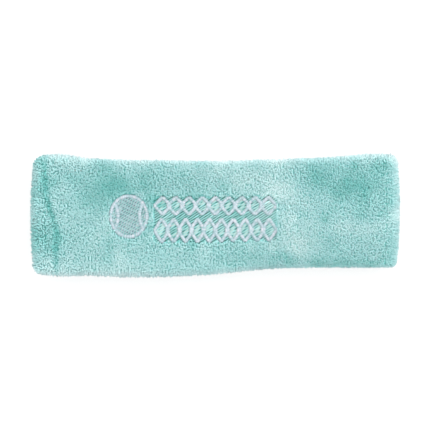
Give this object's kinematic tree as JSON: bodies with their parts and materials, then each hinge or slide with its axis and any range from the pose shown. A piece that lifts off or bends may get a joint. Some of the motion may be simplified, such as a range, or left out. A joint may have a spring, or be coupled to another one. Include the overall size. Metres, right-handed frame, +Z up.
{
  "type": "sports headband",
  "caption": "Flattened loop of pale turquoise terry cloth with elastic cords inside, a stitched closing seam and an embroidered front, that opens out to go over the head.",
  "frame": {"origin": "on the resting surface, under the middle of the flattened band", "axes": "+X along the flattened band from its left end to its right end as seen from the front, +Y across its width, +Z up through its thickness out of the embroidered front"},
  "size_m": [0.18, 0.057, 0.0162],
  "materials": {
    "terry": "matte",
    "elastic": "matte",
    "seam_thread": "satin",
    "ground_thread": "satin",
    "motif_thread": "satin",
    "backing": "matte"
  },
  "bodies": {
    "back_centre": {"sleeve_back_centre": "terry", "elastic_back_centre": "elastic"},
    "back_right": {"sleeve_back_right": "terry", "elastic_back_right": "elastic"},
    "back_end_right": {"sleeve_back_end_right": "terry", "elastic_back_end_right": "elastic"},
    "right_fold_lower": {"sleeve_right_fold_lower": "terry", "elastic_right_fold_lower": "elastic"},
    "right_fold_upper": {"sleeve_right_fold_upper": "terry", "elastic_right_fold_upper": "elastic"},
    "front_end_right": {"sleeve_front_end_right": "terry", "elastic_front_end_right": "elastic"},
    "front_right": {"sleeve_front_right": "terry", "elastic_front_right": "elastic"},
    "front_centre": {"sleeve_front_centre": "terry", "elastic_front_centre": "elastic", "row_ground": "ground_thread", "row_upper": "motif_thread", "row_lower": "motif_thread", "backing_rows": "backing"},
    "front_left": {"sleeve_front_left": "terry", "elastic_front_left": "elastic", "emblem_ground": "ground_thread", "emblem_motif": "motif_thread", "backing_emblem": "backing"},
    "front_end_left": {"sleeve_front_end_left": "terry", "elastic_front_end_left": "elastic"},
    "closing_end": {"sleeve_closing_end": "terry", "elastic_closing_end": "elastic", "seam_thread": "seam_thread"},
    "left_fold_upper": {"sleeve_left_fold_upper": "terry", "elastic_left_fold_upper": "elastic"},
    "left_fold_lower": {"sleeve_left_fold_lower": "terry", "elastic_left_fold_lower": "elastic"},
    "back_end_left": {"sleeve_back_end_left": "terry", "elastic_back_end_left": "elastic"},
    "back_left": {"sleeve_back_left": "terry", "elastic_back_left": "elastic"}
  },
  "joints": [
    {"name": "open", "type": "hinge", "parent": "back_centre", "child": "back_right", "pos_m": [0.031, 0, 0.0058], "axis": [0, -1, 0], "range_deg": [0, 30]},
    {"name": "bend_back_end_right", "type": "hinge", "parent": "back_right", "child": "back_end_right", "pos_m": [0.064, 0, 0.0058], "axis": [0, -1, 0], "range_deg": [0, 30]},
    {"name": "unfold_right_lower", "type": "hinge", "parent": "back_end_right", "child": "right_fold_lower", "pos_m": [0.08595, 0, 0.00109], "axis": [0, 1, 0], "range_deg": [0, 40]},
    {"name": "unfold_right_middle", "type": "hinge", "parent": "right_fold_lower", "child": "right_fold_upper", "pos_m": [0.09, 0, 0.0081], "axis": [0, 1, 0], "range_deg": [0, 40]},
    {"name": "unfold_right_upper", "type": "hinge", "parent": "right_fold_upper", "child": "front_end_right", "pos_m": [0.08595, 0, 0.01511], "axis": [0, 1, 0], "range_deg": [0, 40]},
    {"name": "bend_front_end_right", "type": "hinge", "parent": "front_end_right", "child": "front_right", "pos_m": [0.064, 0, 0.0104], "axis": [0, -1, 0], "range_deg": [0, 30]},
    {"name": "bend_front_right", "type": "hinge", "parent": "front_right", "child": "front_centre", "pos_m": [0.031, 0, 0.0104], "axis": [0, -1, 0], "range_deg": [0, 30]},
    {"name": "bend_front_left", "type": "hinge", "parent": "front_centre", "child": "front_left", "pos_m": [-0.031, 0, 0.0104], "axis": [0, -1, 0], "range_deg": [0, 30]},
    {"name": "bend_front_end_left", "type": "hinge", "parent": "front_left", "child": "front_end_left", "pos_m": [-0.064, 0, 0.0104], "axis": [0, -1, 0], "range_deg": [0, 30]},
    {"name": "bend_back_left", "type": "hinge", "parent": "back_centre", "child": "back_left", "pos_m": [-0.031, 0, 0.0058], "axis": [0, 1, 0], "range_deg": [0, 30]},
    {"name": "bend_back_end_left", "type": "hinge", "parent": "back_left", "child": "back_end_left", "pos_m": [-0.064, 0, 0.0058], "axis": [0, 1, 0], "range_deg": [0, 30]},
    {"name": "unfold_left_lower", "type": "hinge", "parent": "back_end_left", "child": "left_fold_lower", "pos_m": [-0.08595, 0, 0.00109], "axis": [0, -1, 0], "range_deg": [0, 40]},
    {"name": "unfold_left_middle", "type": "hinge", "parent": "left_fold_lower", "child": "left_fold_upper", "pos_m": [-0.09, 0, 0.0081], "axis": [0, -1, 0], "range_deg": [0, 40]},
    {"name": "unfold_left_upper", "type": "hinge", "parent": "left_fold_upper", "child": "closing_end", "pos_m": [-0.08595, 0, 0.01511], "axis": [0, -1, 0], "range_deg": [0, 40]}
  ],
  "couplings": [
    {"joint": "bend_back_end_right", "follows": "open", "ratio": 1},
    {"joint": "unfold_right_lower", "follows": "open", "ratio": 1.3333},
    {"joint": "unfold_right_middle", "follows": "open", "ratio": 1.3333},
    {"joint": "unfold_right_upper", "follows": "open", "ratio": 1.3333},
    {"joint": "bend_front_end_right", "follows": "open", "ratio": 1},
    {"joint": "bend_front_right", "follows": "open", "ratio": 1},
    {"joint": "bend_front_left", "follows": "open", "ratio": 1},
    {"joint": "bend_front_end_left", "follows": "open", "ratio": 1},
    {"joint": "bend_back_left", "follows": "open", "ratio": 1},
    {"joint": "bend_back_end_left", "follows": "open", "ratio": 1},
    {"joint": "unfold_left_lower", "follows": "open", "ratio": 1.3333},
    {"joint": "unfold_left_middle", "follows": "open", "ratio": 1.3333},
    {"joint": "unfold_left_upper", "follows": "open", "ratio": 1.3333}
  ]
}
